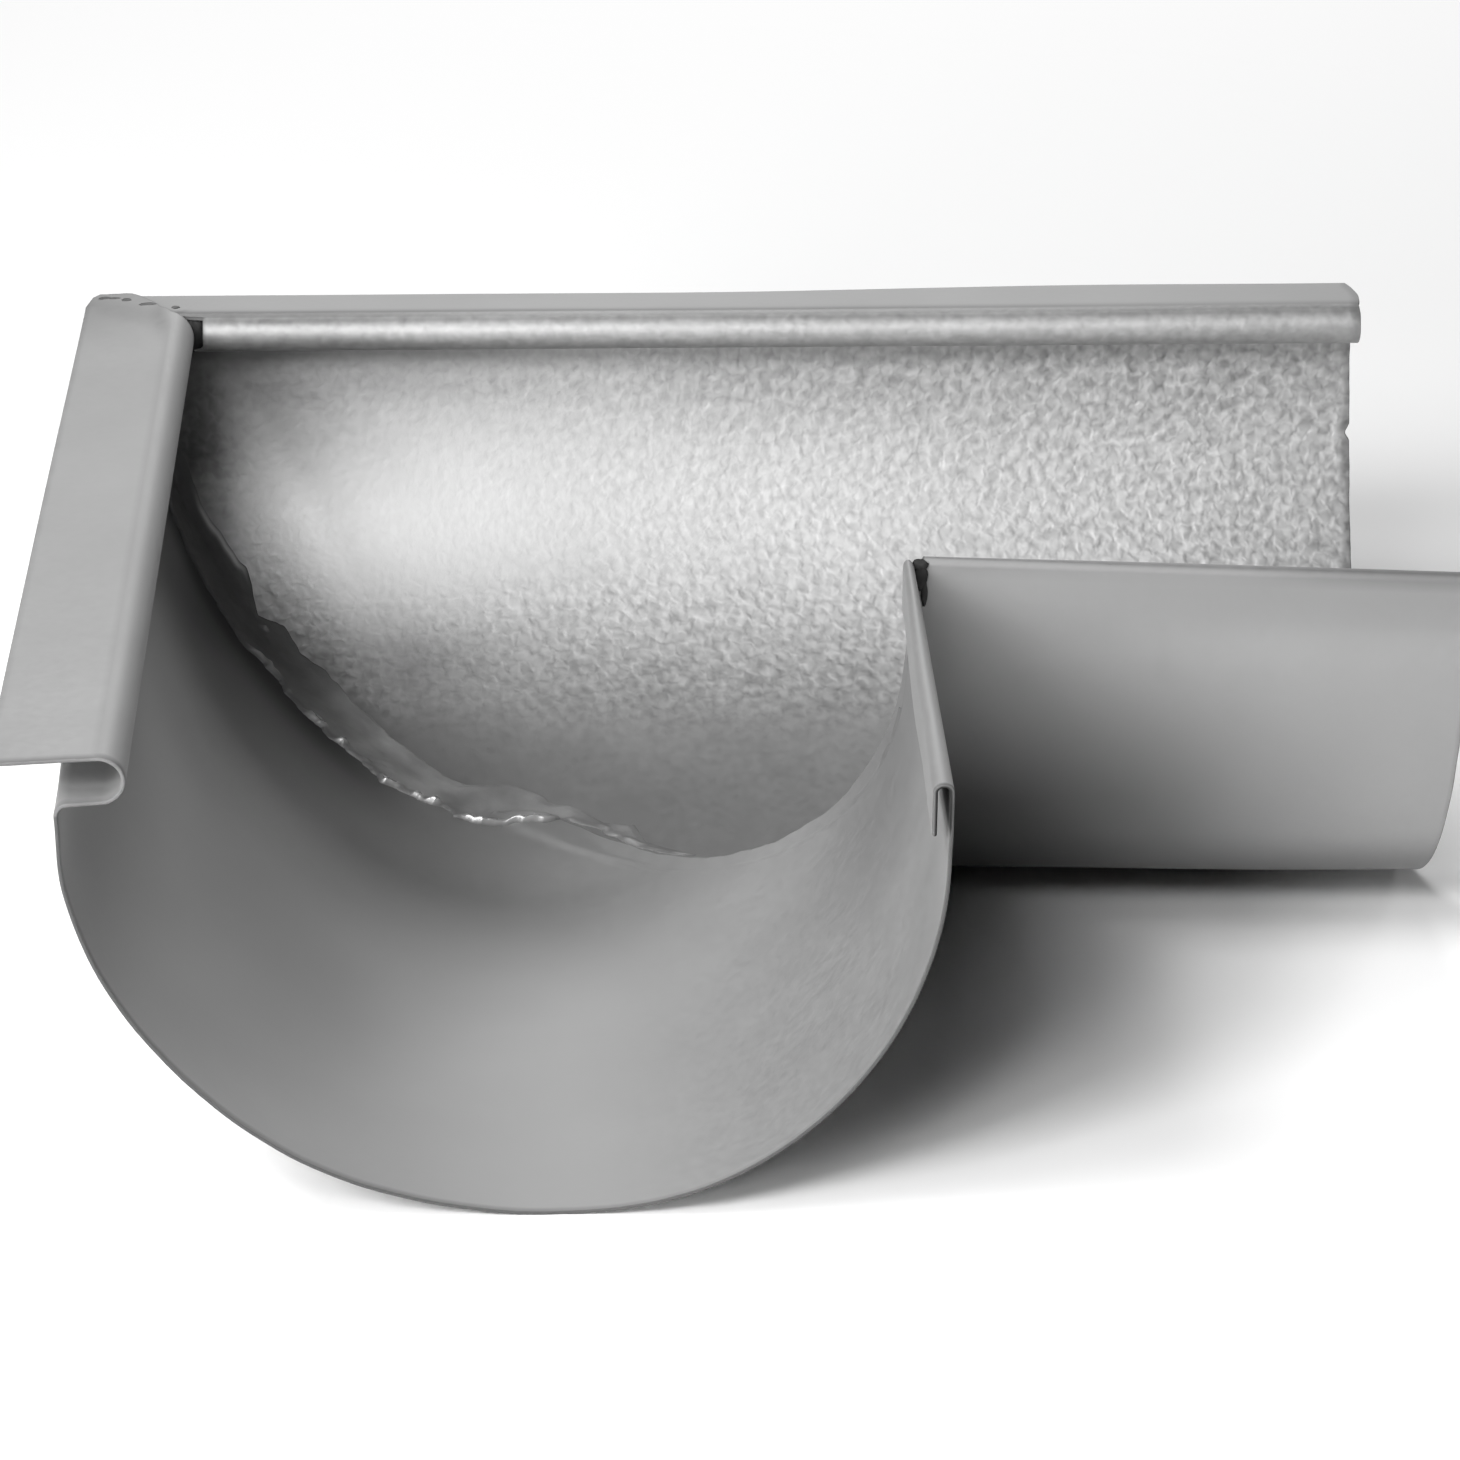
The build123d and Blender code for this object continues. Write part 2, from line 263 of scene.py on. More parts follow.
def build_leg(name, near, start, end, rings):
    co, faces, edge, peel, dull, painted_shading = [], [], [], [], [], []
    s = ring_steps(rings, 1.0)
    plan = [(0.0, "s", 0.4), (0.06, "s", 0.8), (EDGE_R, "s", 1.0)]
    plan += [(k, "m", 1.0) for k in s[1:-1]]
    plan += [(EDGE_R, "e", 1.0), (0.06, "e", 0.8), (0.0, "e", 0.4)]
    u1, z1 = loop_points(1.0)
    ts, te = start(u1, z1), end(u1, z1)
    for k, kind, shrink in plan:
        u, z = loop_points(shrink)
        if kind == "s":
            t = ts + k
        elif kind == "e":
            t = te - k
        else:
            t = ts + EDGE_R + (te - ts - 2 * EDGE_R) * k
        zz = z + FALLS[LI] * BACK_FALL * (HALF_W - t)
        wall_u = -HALF_W + H
        flat = 0.60 + 0.40 * smooth(t, HALF_W, HALF_W + 55) + (0.15 * smooth(t, 140, 171) if near else 0.0)
        uu = np.where(CODE[LI] == HEM, wall_u + (u - wall_u) * np.where(u > wall_u, flat, 1.0), u)
        if near:
            # at the open end the front wall is a little full at half height and leans in at the top
            lean = np.where(CODE[LI] == TROUGH, smooth(z, 64, 78) - 0.65 * np.exp(-((z - 46) / 16.0) ** 2), np.where(CODE[LI] == BEND, 1.0, 0.0))
            lean = np.where(CODE[LI] == SHELF, np.clip((NOSE_C - u) / (NOSE_C - BEND_U), 0, 1), lean)
            uu = np.where(u > 0, uu - 1.2 * lean * smooth(t, 110, 168), uu)
            y = -t
            past = y - uu
            # flange: laps over the other flange at the corner
            fl = (CODE[LI] == FLANGE) & (uu > 66.5)
            zz = np.where(fl, zz + lap_top(uu, y) - flange_top(uu), zz)
            # floor: lies over the far leg's floor past the miter
            low = (CODE[LI] == TROUGH) & (uu < 10)
            want = zin(y) + (SHEET + 0.1) * smooth(past, -0.5, 3.0) - zin(uu)
            zz = np.where(low & (past > -0.5), zz + np.maximum(want, 0), zz)
            p = np.stack([-uu, -t, zz], 1)
            n = np.stack([-NU[LI], np.zeros(NL), NZ[LI]], 1)
        else:
            # the back of the trough is flatter by the inner corner and fuller at the open end
            full = 1.8 * smooth(t, 80, 180) - 2.2 * smooth(t + u, 4, 34) * (1 - smooth(t, 80, 165))
            uu = np.where(CODE[LI] == TROUGH, uu - full * smooth(-u, 8, 34) * (1 - smooth(z, 12, 46)), uu)
            low = 1 - 0.5 * smooth(t, 100.0, 180.0)
            zz = np.where(CODE[LI] == FLANGE, zz - droop(uu, t, 35.0, 140.0) - sunk(uu) * low, zz)
            top = np.clip((z - NOSE_Z) / NOSE_R, 0, 1)
            zz = np.where(CODE[LI] == NOSE, zz - 0.8 * top * low, zz)
            p = np.stack([t, uu, zz], 1)
            n = np.stack([np.zeros(NL), NU[LI], NZ[LI]], 1)
        # the hand-formed sheet is not quite true: shallow waves, none at the seam
        away = np.clip((t - ts) / 30.0, 0, 1) * np.clip((te - t) / 12.0, 0.25, 1)
        w = (0.06 if near else 0.10) * lumps(p, 58.0, 1.0 if near else 2.0) + 0.012 * lumps(p, 19.0, 3.0)
        w = w * away * np.where(np.isin(CODE[LI], (TROUGH, FLANGE)), 1.0, 0.5)
        p = p + n * w[:, None]
        p[:, 2] = np.maximum(p[:, 2], 0.0)
        co.append(p + np.array([AX, AY, 0.0]))
        edge_tone = np.where(LE > 0.01, 1.0, 0.0) if kind == "m" else np.full(NL, 1.0 if k < EDGE_R else 0.5)
        if not near and kind == "e" and k == EDGE_R:
            edge_tone = np.full(NL, 0.15)
        if near and kind == "e":
            # the lip's end gets less of the cut-edge darkening, so it reads a little lighter
            edge_tone = np.where(np.isin(CODE[LI], (BEND, SHELF, NOSE)), 0.60, np.where(np.isin(CODE[LI], (HEM, FLANGE)), 0.80, edge_tone))
        edge.append(edge_tone)
        if near:
            peel.append(np.full(NL, 0.10))
            dull.append(np.full(NL, 0.72))
        else:
            inside = INNER & (CODE[LI] == TROUGH)
            high = smooth(p[:, 1], 52, 60)
            reach = high * (0.10 + 0.62 * smooth(p[:, 0], -45, 75)) + (1 - high) * (0.18 + 0.74 * smooth(p[:, 0], -48, 30))
            reach = reach + 0.40 * smooth(p[:, 0], 70, 150)
            reach = reach + 0.16 * (1 - smooth(p[:, 0], -42, -18)) + 0.26 * smooth(p[:, 1], 72, 75.2) * smooth(p[:, 0], -62, -40)
            reach = reach + 0.60 * np.exp(-((p[:, 0] + p[:, 1] - 7.0) / 9.0) ** 2)
            reach = reach * (0.10 + 0.90 * smooth(p[:, 1], 25, 40))
            peel.append(np.where(inside, reach, np.where((CODE[LI] == NOSE), 0.50, 0.12)))
            rough = np.where(inside, 0.50 + 0.10 * smooth(p[:, 0], -40, 20), 0.74)
            dull.append(np.where(CODE[LI] == NOSE, 0.64, rough))
        # painted shade in the hem's fold, by the seam, in the inner corner, under the lips and along the flanges;
        # painted light where places are made brighter
        # painted shade: the inside of the hem's fold is darkened as if its slot lay in shadow
        fold = INNER & ((CODE[LI] == HEM) | ((CODE[LI] == WALL) & (z > BACK_TOP - HEM_DEEP)))
        shade_paint = np.where(fold, 0.75, 0.0)
        # painted shade on the outer walls by the inner corner, strongest low down and fading away from the corner
        d = np.maximum(t - HALF_W, 0)
        by = np.interp(zz, [0, 35, 58, 79, 90], [0.66, 0.68, 0.35, 0.08, 0.05]) * np.exp(-(d / 41.0) ** 2)
        shade_paint = np.maximum(shade_paint, np.where(~INNER & (uu < 8) & np.isin(CODE[LI], (TROUGH, WALL)), by, 0.0))
        if near:
            # near trough: painted shade beside the seam, on the back wall by the corner and on the front wall under the
            # lip; painted light in two broad patches on the floor and front wall
            d = np.maximum(t + uu - np.interp(uu, [0, 5, 10, 18, 24, 62, 72], [0, 6, 8.6, 12.7, 16.4, 18.4, 8]), 0)
            by = smooth(uu, 12, 40) * (0.42 * np.exp(-(d / 10.0) ** 2) + 0.30 * np.exp(-(d / 26.0) ** 2))
            by = by - 0.34 * np.exp(-((uu - 40) / 16.0) ** 2 - ((t - 22) / 24.0) ** 2)
            by = by - 0.20 * np.exp(-((uu + 5) / 28.0) ** 2 - ((t - 22) / 18.0) ** 2)
            by = by + 0.24 * np.exp(-((uu + 72) / 12.0) ** 2) * (1 - smooth(t, 85, 135))
            by = by + 0.24 * np.exp(-((uu - 61) / 8.0) ** 2 - ((t + 24) / 14.0) ** 2) + 0.10 * np.exp(-((uu - 59) / 9.0) ** 2 - ((t - 36) / 16.0) ** 2)
            shade_paint = np.where(INNER & (CODE[LI] == TROUGH), by, shade_paint)
            # painted light over the near flange's upper face, turning to painted shade towards its lapped outer corner
            shade_paint = np.where(INNER & (CODE[LI] == FLANGE), -0.12 + 0.27 * (1 - smooth(t, -86, -40)), shade_paint)
        else:
            # far outer wall: painted shade along its bottom and, more faintly, towards its top, both growing towards
            # the far end
            low = (0.22 + 0.08 * smooth(t, 120, 170)) * (1 - smooth(z, 11, 26)) * smooth(t, 60, 80)
            low = low + (0.03 + 0.12 * smooth(z, 66, 82)) * smooth(t, 85, 145)
            shade_paint = np.where(~INNER & (uu < 8) & np.isin(CODE[LI], (TROUGH, WALL)), shade_paint + low * (1 - shade_paint), shade_paint)
            # painted shade on the outside of the far hem, darker towards the far end
            shade_paint = np.where(~INNER & (CODE[LI] == HEM), 0.15 + 0.16 * smooth(t, 125, 165), shade_paint)
            # painted shade over the far flange, strongest on the strip next to the nose and towards the corner end
            by = np.interp(t, [-70, -40, 10, 80, 150], [0.52, 0.48, 0.44, 0.40, 0.28])
            shade_paint = np.where(INNER & (CODE[LI] == FLANGE), 0.06 + by * (1 - smooth(uu, 67, 72)), shade_paint)
            # painted shade along the top of the far lip's nose and by the corner end, painted highlight across its
            # middle and lower half
            rise = (z - NOSE_Z) / NOSE_R
            left = 1 - smooth(t, -45, 10)
            by = (0.32 + 0.15 * left) * smooth(rise, 0.89, 0.98) + (0.24 * left - 0.14) * np.exp(-((rise - 0.76) / 0.12) ** 2)
            by = by + 0.16 * (1 - smooth(t, -45, -15)) * np.exp(-((rise - 0.25) / 0.3) ** 2)
            by = by - 0.30 * smooth(t, -70, 30) * (1 - smooth(t, 110, 175)) * np.exp(-((rise + 0.15) / 0.35) ** 2)
            shade_paint = np.where(INNER & (CODE[LI] == NOSE), by, shade_paint)
            # painted shadow of the near lip on the far trough's upper wall by the corner, and a painted dark patch on
            # the wall near the seam
            by = 0.10 * (1 - smooth(t, -62, -22)) * smooth(uu, 66, 75) + 0.52 * (1 - smooth(t, -66, -51)) * smooth(uu, 66.5, 71.5)
            by = by + np.interp(t, [-75, -60, -45, -16, 18], [0.2, 0.6, 1.0, 0.75, 0.0]) * (0.22 * smooth(z, 62, 71) + 0.30 * smooth(z, 74.2, 76.2))
            by = by + 0.22 * np.exp(-((t + 17) / 16.0) ** 2 - ((uu - 45) / 6.0) ** 2)
            shade_paint = np.where(INNER & (CODE[LI] == TROUGH), by, shade_paint)
        painted_shading.append(shade_paint)
    R = len(plan)
    for r in range(R - 1):
        a = r * NL
        for j in range(NL):
            k = (j + 1) % NL
            faces.append((a + j, a + k, a + NL + k, a + NL + j))
    # end caps: quads across the sheet, with small closing faces at the free edges
    for a, flip in ((0, True), ((R - 1) * NL, False)):
        o = lambda i: a + i
        q = lambda i: a + N + 4 + (N - 1 - i)
        caps = [(o(i), o(i + 1), q(i + 1), q(i)) for i in range(N - 1)]
        caps.append(tuple([o(N - 1)] + [a + N + m for m in range(4)] + [q(N - 1)]))
        caps.append(tuple([q(0)] + [a + 2 * N + 4 + m for m in range(4)] + [o(0)]))
        faces += [tuple(reversed(f)) if flip else f for f in caps]
    if not near:
        faces = [tuple(reversed(f)) for f in faces]
    me = bpy.data.meshes.new(name)
    me.from_pydata((np.concatenate(co) * MM).tolist(), [], faces)
    for key, data in (("edge", edge), ("peel", peel), ("dull", dull), ("painted_shading", painted_shading)):
        at = me.attributes.new(key, "FLOAT", "POINT")
        at.data.foreach_set("value", np.concatenate(data).astype(np.float32))
    me.polygons.foreach_set("use_smooth", np.ones(len(me.polygons), bool))
    me.update()
    me.set_sharp_from_angle(angle=math.radians(50))
    ob = bpy.data.objects.new(name, me)
    bpy.context.scene.collection.objects.link(ob)
    return ob


# ------------------------------------------------------------------ seam sealer
# outline in plan from the crossing: upper edge on the far leg, lower edge on the
# near leg, from under the lip down to the bottom of the trough
UP = np.array([(-68.6, 72.6), (-66.0, 70.0), (-64.7, 69.0), (-62.6, 66.6), (-58.3, 63.0), (-53.2, 59.3), (-52.1, 57.0),
               (-50.6, 52.4), (-45.2, 50.7), (-41.6, 46.0), (-36.7, 42.7), (-32.0, 37.6), (-24.9, 30.5), (-22.6, 27.8),
               (-16.1, 21.7), (-10.3, 15.9), (-6.9, 14.1), (1.8, 13.9), (7.5, 11.1), (10.3, 7.2), (13.8, 7.1),
               (20.5, 0.5), (26.8, -0.8), (28.8, -8.5), (34.9, -13.3), (39.4, -16.4)])
LOW = np.array([(-72.8, 66.5), (-71.4, 60.0), (-68.6, 53.0), (-65.6, 48.6), (-62.6, 44.2), (-58.2, 39.6), (-53.1, 34.2),
                (-51.1, 33.6), (-45.5, 31.4), (-43.8, 27.1), (-38.5, 21.2), (-33.9, 17.5), (-28.6, 13.7), (-24.0, 7.6),
                (-18.3, 5.6), (-11.5, 4.0), (-9.7, 1.1), (-4.6, -1.2), (0.5, -0.6), (9.6, -0.4), (13.5, 1.0),
                (18.7, -1.9), (24.0, -7.8), (27.2, -11.4), (32.5, -15.2), (38.6, -17.6)])
# lumps squeezed out along the lower edge: place along the seam, half length, height
LUMPS = [(-41.2, 2.2, 0.55), (-36.0, 0.5, 0.25), (-30.5, 1.5, 0.90), (-25.7, 0.6, 0.80), (-21.5, 0.6, 0.25), (-16.0, 1.5, 1.00),
         (-11.6, 0.8, 0.90), (-9.5, 0.8, 0.95), (-2.1, 2.3, 1.00), (2.7, 2.0, 0.85), (11.5, 1.0, 0.20), (18.0, 1.6, 0.45), (26.0, 1.2, 0.35)]


def along(line, q):
    """Points of an outline at q, half the difference of x and y."""
    key = (line[:, 0] - line[:, 1]) / 2
    return np.stack([np.interp(q, key, line[:, 0]), np.interp(q, key, line[:, 1])], 1)


def trough_z(x, y):
    """Inner face of the mitred trough at plan x, y (from the crossing), with the near sheet's lap."""
    base = np.where(x + y < 0, zin(-x), zin(y))
    past = x + y
    ext = np.interp(-x, EXT_U, EXT_W, right=0.0)
    lap = np.maximum(zin(-x), zin(y) + (SHEET + 0.1) * smooth(past, -0.5, 3.0))
    return np.where((past > -0.5) & (past < ext) & (x > -8), np.maximum(base, lap), base)


def trough_normal(x, y):
    """Unit normal of the inner face, up into the trough."""
    u = np.where(x + y < 0, -x, y)
    r = np.where(u < LOW_U, R_BACK - SHEET, R_FRONT - SHEET)
    k = np.clip((u - LOW_U) / r, -0.999, 0.999)
    nz = np.sqrt(1 - k ** 2)
    near = x + y < 0
    return np.stack([np.where(near, k, 0), np.where(near, 0, -k), nz], -1)


def line_noise(s, scale, a, b):
    return np.array([noise.noise(Vector((q / scale, a, b))) for q in s])


def grid_noise(p, scale, off):
    flat = p.reshape(-1, 3)
    return np.array([noise.noise(Vector(q) / scale + Vector(off)) for q in flat]).reshape(p.shape[:-1])


def closed_strip(top, bot):
    """Vertices and faces of a closed strip from two grids of points."""
    ns, nw = top.shape[:2]
    M = ns * nw
    co = np.concatenate([top.reshape(-1, 3), bot.reshape(-1, 3)]) + np.array([AX, AY, 0.0])
    faces = []
    g = lambda i, j: i * nw + j
    for i in range(ns - 1):
        for j in range(nw - 1):
            faces.append((g(i, j), g(i + 1, j), g(i + 1, j + 1), g(i, j + 1)))
            faces.append((M + g(i, j), M + g(i, j + 1), M + g(i + 1, j + 1), M + g(i + 1, j)))
    for i in range(ns - 1):
        faces.append((g(i, 0), M + g(i, 0), M + g(i + 1, 0), g(i + 1, 0)))
        faces.append((g(i, nw - 1), g(i + 1, nw - 1), M + g(i + 1, nw - 1), M + g(i, nw - 1)))
    for j in range(nw - 1):
        faces.append((g(0, j), g(0, j + 1), M + g(0, j + 1), M + g(0, j)))
        faces.append((g(ns - 1, j), M + g(ns - 1, j), M + g(ns - 1, j + 1), g(ns - 1, j + 1)))
    return co, faces


def finish_mesh(name, co, faces, **attributes):
    me = bpy.data.meshes.new(name)
    me.from_pydata((np.asarray(co) * MM).tolist(), [], faces)
    for key, data in attributes.items():
        at = me.attributes.new(key, "FLOAT", "POINT")
        at.data.foreach_set("value", np.asarray(data, np.float32))
    me.polygons.foreach_set("use_smooth", np.ones(len(me.polygons), bool))
    me.update()
    me.set_sharp_from_angle(angle=math.radians(60))
    ob = bpy.data.objects.new(name, me)
    bpy.context.scene.collection.objects.link(ob)
    return ob


def build_sealer(name):
    ns, nw = 430, 36
    q = np.linspace(-69.6, 27.8, ns)
    a, b = along(UP, q), along(LOW, q)
    s = np.r_[0, np.cumsum(np.linalg.norm(np.diff((a + b) / 2, axis=0), axis=1))]
    # ragged edges: small bites and tongues, larger along the lower edge
    ja = 0.40 * line_noise(s, 5.5, 1.3, 0.2) + 0.30 * line_noise(s, 1.9, 4.3, 0.7)
    jb = 0.7 * line_noise(s, 6.5, 9.1, 2.2) + 0.9 * line_noise(s, 2.7, 6.4, 3.9) + 0.4 * line_noise(s, 1.1, 2.4, 7.9)
    across = a - b
    wide = np.linalg.norm(across, axis=1, keepdims=True)
    unit = across / np.maximum(wide, 0.5)
    room = np.clip(wide[:, 0] / 8.0, 0.1, 1)
    a = a + unit * (ja * room)[:, None]
    b = b + unit * (jb * room)[:, None]
    v = np.linspace(0, 1, nw)
    v = 0.5 - 0.5 * np.cos(np.pi * v) * 0.85 - 0.5 * (1 - 2 * v) * 0.15
    P = a[:, None, :] * v[None, :, None] + b[:, None, :] * (1 - v)[None, :, None]
    x, y = P[..., 0], P[..., 1]
    z = trough_z(x, y)
    nrm = trough_normal(x, y)
    # soften the crease: average heights and normals along each cross line
    for _ in range(12):
        z[:, 1:-1] = 0.25 * z[:, :-2] + 0.5 * z[:, 1:-1] + 0.25 * z[:, 2:]
        nrm[:, 1:-1] = 0.25 * nrm[:, :-2] + 0.5 * nrm[:, 1:-1] + 0.25 * nrm[:, 2:]
    z = np.maximum(z, trough_z(x, y))
    nrm /= np.linalg.norm(nrm, axis=-1, keepdims=True)
    pts = np.stack([x, y, z], -1)
    big = grid_noise(pts, 6.0, (3.3, 1.2, 8.8))
    small = grid_noise(pts, 1.9, (7.1, 5.5, 2.4))
    from_low = v[None, :] * wide                       # mm in from the lower edge
    # a rolled lower edge that swells into separate lumps
    lump = sum(h * np.exp(-((q - c) / w) ** 4) for c, w, h in LUMPS) * (1 + 0.35 * line_noise(s, 1.6, 11.7, 5.1))
    where = 1.05 + 0.30 * line_noise(s, 4.0, 0.7, 9.3)
    rim = np.exp(-((from_low - where[:, None]) / 0.85) ** 2) * (0.12 + lump)[:, None]
    body = 0.50 + 0.20 * big + 0.13 * small
    taper = np.clip(from_low / 0.6, 0, 1) ** 0.5 * np.clip((1 - v)[None, :] * wide / 1.8, 0, 1) ** 0.7
    tip = np.minimum(1, np.minimum(s, s[-1] - s) / 4.0)[:, None] ** 0.6
    from_up = (1 - v)[None, :] * wide
    # a thin raised line below the upper edge under the lip; it also carries a painted highlight through pale
    line = np.exp(-((from_up - 0.5) / 0.42) ** 2) * np.exp(-((q + 60.5) / 4.4) ** 4)[:, None]
    drop = np.exp(-((x + 49.3) ** 2 + (y - 49.6) ** 2) / 0.5)
    rim = rim + 0.9 * drop
    thick = (body + 0.6 * line + rim * (1.0 + 0.35 * small)) * (0.10 + 0.90 * taper) * (0.25 + 0.75 * tip) * (0.35 + 0.65 * room)[:, None]
    top = pts + nrm * thick[..., None]
    bot = pts - nrm * 0.18
    bot[..., 2] = np.maximum(bot[..., 2], 0.15)
    co, faces = closed_strip(top, bot)
    bead = np.concatenate([np.clip(1.15 * rim - 0.12, 0, 1).reshape(-1), np.zeros(ns * nw)])
    # pale lightens the sealer's colour along the middle of the seam; line adds a painted highlight along the upper edge
    pale = smooth(q, -46.0, -27.0) * (1 - 0.35 * smooth(q, -14.0, -4.0)) * (1 - 0.5 * smooth(q, 2.0, 9.0)) * (1 + 0.5 * line_noise(s, 9.0, 3.1, 1.4))
    pale = pale[:, None] * (0.80 + 0.5 * big) * (0.45 + 0.55 * smooth(from_low, 0.6, 2.6)) + 3.0 * line
    return finish_mesh(name, co, faces, bead=bead, pale=np.concatenate([pale.reshape(-1), np.zeros(ns * nw)]))


def dab(centre, radii, seed, rough=0.2, rings=14, steps=22):
    """A closed lump of sealer, as vertices and faces."""
    co, faces = [], []
    for i in range(1, rings):
        th = math.pi * i / rings
        for j in range(steps):
            ph = 2 * math.pi * j / steps
            d = Vector((math.sin(th) * math.cos(ph), math.sin(th) * math.sin(ph), math.cos(th)))
            k = 1 + rough * noise.noise(d * 1.7 + Vector((seed, seed * 0.3, 1.1))) + 0.5 * rough * noise.noise(d * 4.1 + Vector((2.0, seed, 0.4)))
            co.append([centre[m] + radii[m] * d[m] * k for m in range(3)])
    co.append([centre[0], centre[1], centre[2] + radii[2]])
    co.append([centre[0], centre[1], centre[2] - radii[2]])
    n = (rings - 1) * steps
    for i in range(rings - 2):
        for j in range(steps):
            k = (j + 1) % steps
            faces.append((i * steps + j, (i + 1) * steps + j, (i + 1) * steps + k, i * steps + k))
    for j in range(steps):
        k = (j + 1) % steps
        faces.append((n, j, k))
        faces.append((n + 1, (rings - 2) * steps + k, (rings - 2) * steps + j))
    return co, faces


def build_dabs(name, dabs):
    co, faces, tone = [], [], []
    for k, (c, r, t) in enumerate(dabs):
        v, f = dab(c, r, 1.0 + k)
        faces += [tuple(i + len(co) for i in q) for q in f]
        co += v
        tone += [t] * len(v)
    return finish_mesh(name, np.array(co) + np.array([AX, AY, 0.0]), faces, bead=tone, pale=np.zeros(len(co)))


# -------------------------------------------------------------------- materials
def node(nt, kind, x, y, **inputs):
    n = nt.nodes.new(kind)
    n.location = (x, y)
    for k, val in inputs.items():
        n.inputs[k.replace("_", " ")].default_value = val
    return n


def math_node(nt, op, x, y, a=None, b=None):
    n = nt.nodes.new("ShaderNodeMath")
    n.operation = op
    n.location = (x, y)
    for i, val in enumerate((a, b)):
        if val is None:
            continue
        if isinstance(val, (int, float)):
            n.inputs[i].default_value = val
        else:
            nt.links.new(val, n.inputs[i])
    return n.outputs[0]


def galvanised(name, base, seed):
    m = bpy.data.materials.new(name)
    m.use_nodes = True
    nt = m.node_tree
    bsdf = nt.nodes["Principled BSDF"]
    bsdf.inputs["Metallic"].default_value = 1.0
    tc = nt.nodes.new("ShaderNodeTexCoord")
    mp = nt.nodes.new("ShaderNodeMapping")
    mp.inputs["Location"].default_value = (seed * 0.37, seed * 0.21, seed * 0.13)
    nt.links.new(tc.outputs["Object"], mp.inputs["Vector"])
    vec = mp.outputs["Vector"]

    def tex(kind, **inp):
        n = node(nt, kind, -900, 0, **inp)
        nt.links.new(vec, n.inputs["Vector"])
        return n

    cloud = tex("ShaderNodeTexNoise", Scale=20.0, Detail=2.0, Roughness=0.5).outputs["Fac"]
    patch = tex("ShaderNodeTexNoise", Scale=85.0, Detail=1.0, Roughness=0.5).outputs["Fac"]
    grain = tex("ShaderNodeTexNoise", Scale=520.0, Detail=1.0, Roughness=0.45, Distortion=0.3).outputs["Fac"]
    peel = nt.nodes.new("ShaderNodeAttribute")
    peel.attribute_name = "peel"
    edge = nt.nodes.new("ShaderNodeAttribute")
    edge.attribute_name = "edge"

    # tone: base, times slow clouds and patches, times the peel's light and dark flecks
    c = math_node(nt, "MULTIPLY_ADD", -600, 300, cloud, 0.16)
    c.node.inputs[2].default_value = 0.92
    p = math_node(nt, "MULTIPLY_ADD", -600, 200, patch, 0.05)
    p.node.inputs[2].default_value = 0.975
    g0 = math_node(nt, "SUBTRACT", -600, 100, grain, 0.5)
    g1 = math_node(nt, "MULTIPLY", -500, 100, g0, peel.outputs["Fac"])
    g2 = math_node(nt, "MULTIPLY_ADD", -400, 100, g1, 0.9)
    g2.node.inputs[2].default_value = 1.0
    tone = math_node(nt, "MULTIPLY", -300, 250, math_node(nt, "MULTIPLY", -400, 250, c, p), g2)
    bright = math_node(nt, "MULTIPLY_ADD", -300, 150, edge.outputs["Fac"], -0.5 * base)
    bright.node.inputs[2].default_value = base
    tone = math_node(nt, "MULTIPLY", -200, 250, tone, bright)
    # painted shade and painted light: the tone is scaled by one minus the per-point value read here
    painted_shading = nt.nodes.new("ShaderNodeAttribute")
    painted_shading.attribute_name = "painted_shading"
    shading_factor = math_node(nt, "SUBTRACT", -200, 350, 1.0, painted_shading.outputs["Fac"])
    tone = math_node(nt, "MULTIPLY", -100, 250, tone, shading_factor)
    comb = nt.nodes.new("ShaderNodeCombineColor")
    for i in range(3):
        nt.links.new(tone, comb.inputs[i])
    nt.links.new(comb.outputs["Color"], bsdf.inputs["Base Color"])

    # roughness
    dull = nt.nodes.new("ShaderNodeAttribute")
    dull.attribute_name = "dull"
    lift = math_node(nt, "SUBTRACT", -500, -100, dull.outputs["Fac"], 0.075)
    r0 = math_node(nt, "MULTIPLY_ADD", -400, -100, patch, 0.05)
    nt.links.new(lift, r0.node.inputs[2])
    r1 = math_node(nt, "MULTIPLY_ADD", -300, -100, grain, 0.10)
    nt.links.new(r0, r1.node.inputs[2])
    r2 = math_node(nt, "MULTIPLY_ADD", -200, -100, edge.outputs["Fac"], 0.22)
    nt.links.new(r1, r2.node.inputs[2])
    nt.links.new(r2, bsdf.inputs["Roughness"])

    # relief: orange peel where it is strong, a faint tooth all over
    h2 = math_node(nt, "MULTIPLY", -400, -300, grain, peel.outputs["Fac"])
    bump = nt.nodes.new("ShaderNodeBump")
    bump.inputs["Strength"].default_value = 1.0
    bump.inputs["Distance"].default_value = 0.00014
    nt.links.new(h2, bump.inputs["Height"])
    nt.links.new(bump.outputs["Normal"], bsdf.inputs["Normal"])
    return m


